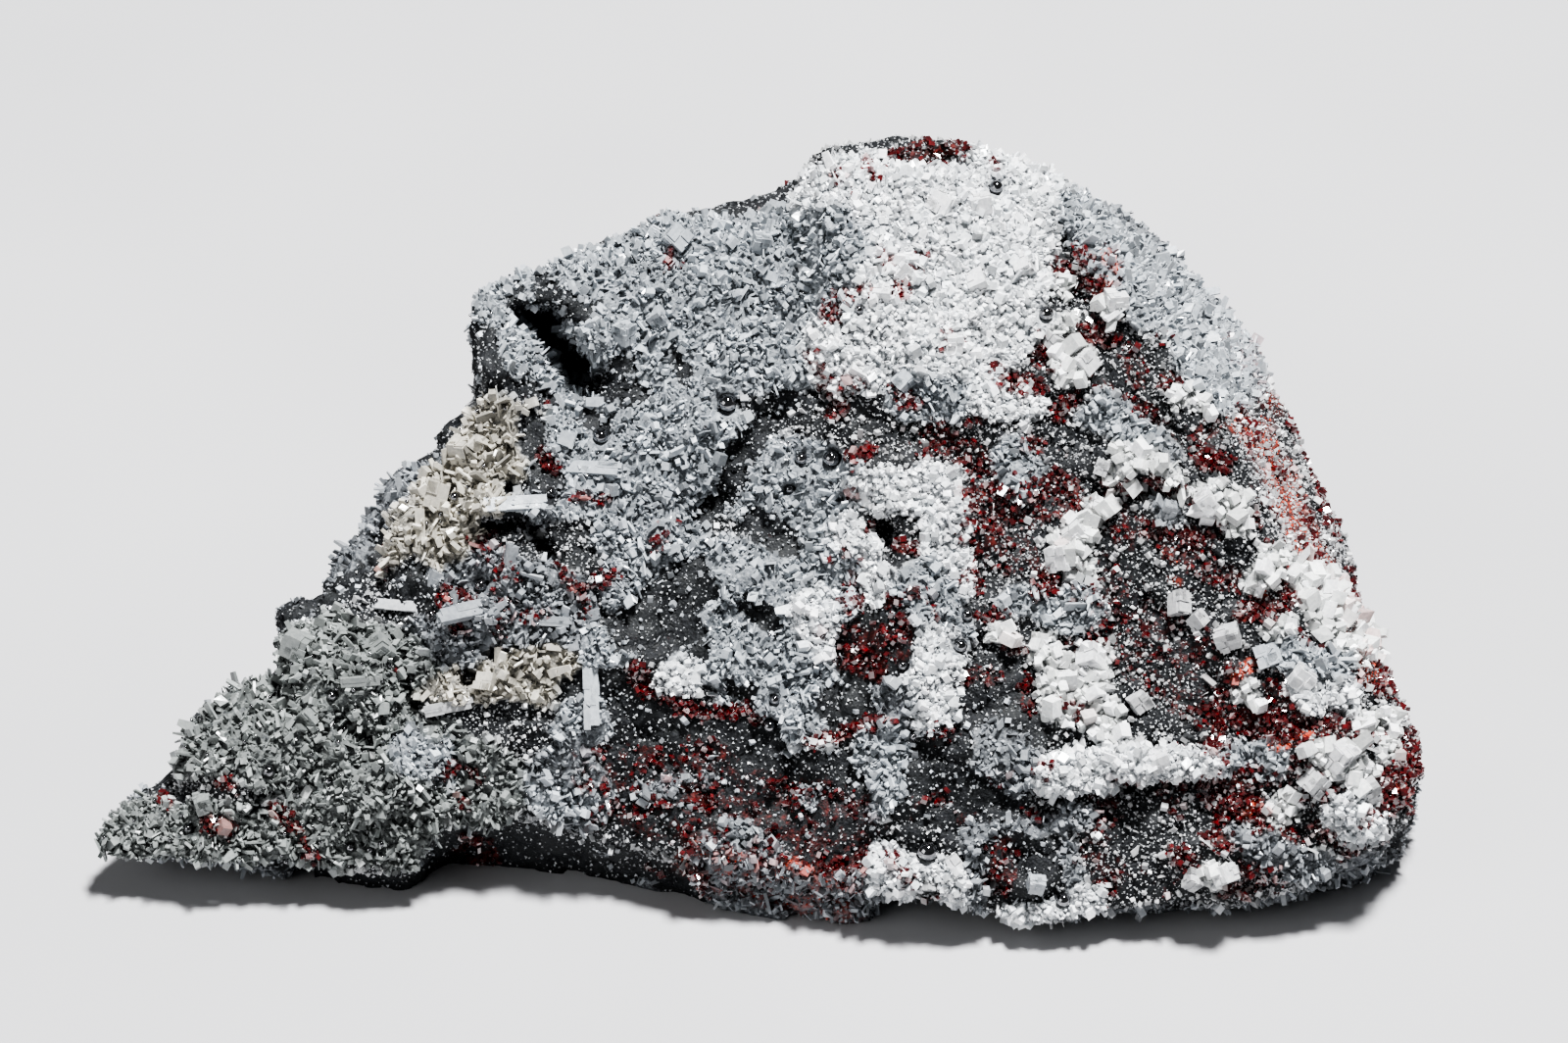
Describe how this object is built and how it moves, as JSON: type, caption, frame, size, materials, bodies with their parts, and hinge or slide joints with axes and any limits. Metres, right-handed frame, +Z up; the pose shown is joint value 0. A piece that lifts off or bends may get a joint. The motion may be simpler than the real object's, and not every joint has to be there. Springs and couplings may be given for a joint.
{
  "type": "native mercury on matrix specimen",
  "caption": "Broken wedge of grey rock with a crust of pale carbonate crystals, dark red cinnabar and small silvery droplets of liquid mercury on its leaning face.",
  "frame": {"origin": "middle of the footprint's box, on the surface that the block rests on", "axes": "+X along the block from its thin tail to its blunt end, +Z up, and the crusted face looks towards -Y and up"},
  "size_m": [0.1009, 0.0639, 0.0477],
  "materials": {
    "rock": "rough broken dark grey rock, crusted on one face",
    "white_crystals": "frosty translucent carbonate crystals",
    "cinnabar": "dark red glassy crystals and vermilion powder",
    "mercury": "liquid metal, mirror bright"
  },
  "bodies": {
    "root": {"matrix": "rock", "mercury_01": "mercury", "mercury_02": "mercury", "mercury_03": "mercury", "mercury_04": "mercury", "mercury_05": "mercury", "mercury_06": "mercury", "mercury_07": "mercury", "mercury_08": "mercury", "mercury_09": "mercury", "mercury_10": "mercury", "mercury_11": "mercury", "mercury_12": "mercury", "mercury_13": "mercury", "mercury_14": "mercury", "mercury_15": "mercury", "mercury_16": "mercury", "mercury_17": "mercury", "mercury_18": "mercury", "mercury_19": "mercury", "mercury_20": "mercury", "mercury_21": "mercury", "mercury_22": "mercury", "mercury_23": "mercury", "mercury_24": "mercury"}
  },
  "joints": []
}
